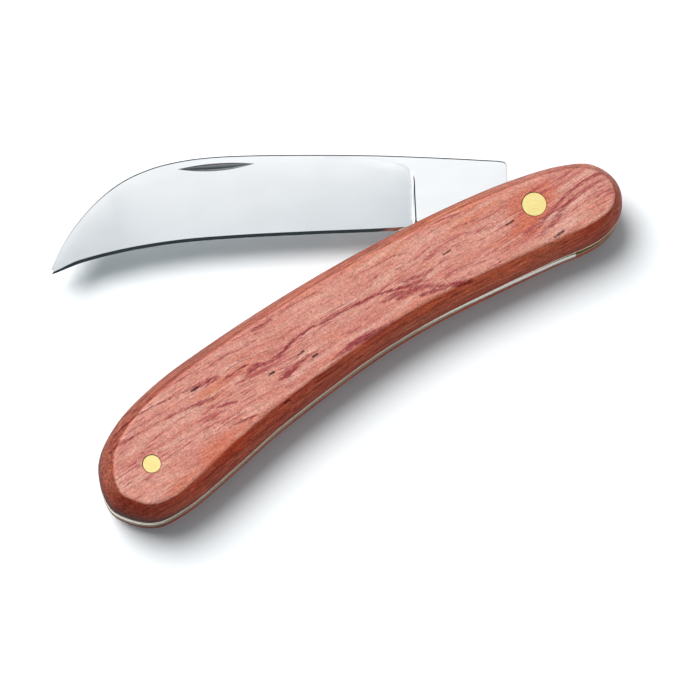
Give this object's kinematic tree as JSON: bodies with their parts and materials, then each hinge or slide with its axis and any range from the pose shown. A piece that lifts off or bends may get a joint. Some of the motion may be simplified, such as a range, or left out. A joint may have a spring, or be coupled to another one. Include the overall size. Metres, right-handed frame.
{
  "type": "folding garden knife",
  "caption": "Folding garden knife: hooked steel blade on a pivot pin between curved wooden scales and brass liners, held by a back spring.",
  "frame": {"origin": "halfway between the pivot pin and the butt pin, on the rear scale's flat face", "axes": "+X from the butt pin to the pivot pin, +Y towards the slot the blade folds into, +Z out of the front scale's flat face"},
  "size_m": [0.1023, 0.0547, 0.015],
  "materials": {
    "bubinga_wood": "sanded and oiled",
    "brass": "ground flush, fine scratches",
    "polished_steel": "polished",
    "spring_steel": "ground edges"
  },
  "bodies": {
    "handle": {"front_scale": "bubinga_wood", "rear_scale": "bubinga_wood", "front_liner": "brass", "rear_liner": "brass", "pivot_pin": "brass", "butt_pin": "brass", "spring_pin": "brass"},
    "blade": {"blade": "polished_steel"},
    "spring": {"back_spring": "spring_steel"}
  },
  "joints": [
    {"name": "blade_pivot", "type": "hinge", "parent": "handle", "child": "blade", "pos_m": [0.039, 0, 0.0075], "axis": [0, 0, 1], "range_deg": [-154.5, 25.5]},
    {"name": "spring_flex", "type": "hinge", "parent": "handle", "child": "spring", "pos_m": [-0.001, -0.0027, 0.0075], "axis": [0, 0, 1], "range_deg": [0, 0.57], "stiffness_Nm_per_rad": 0.5, "deforming": ["back_spring"]}
  ]
}
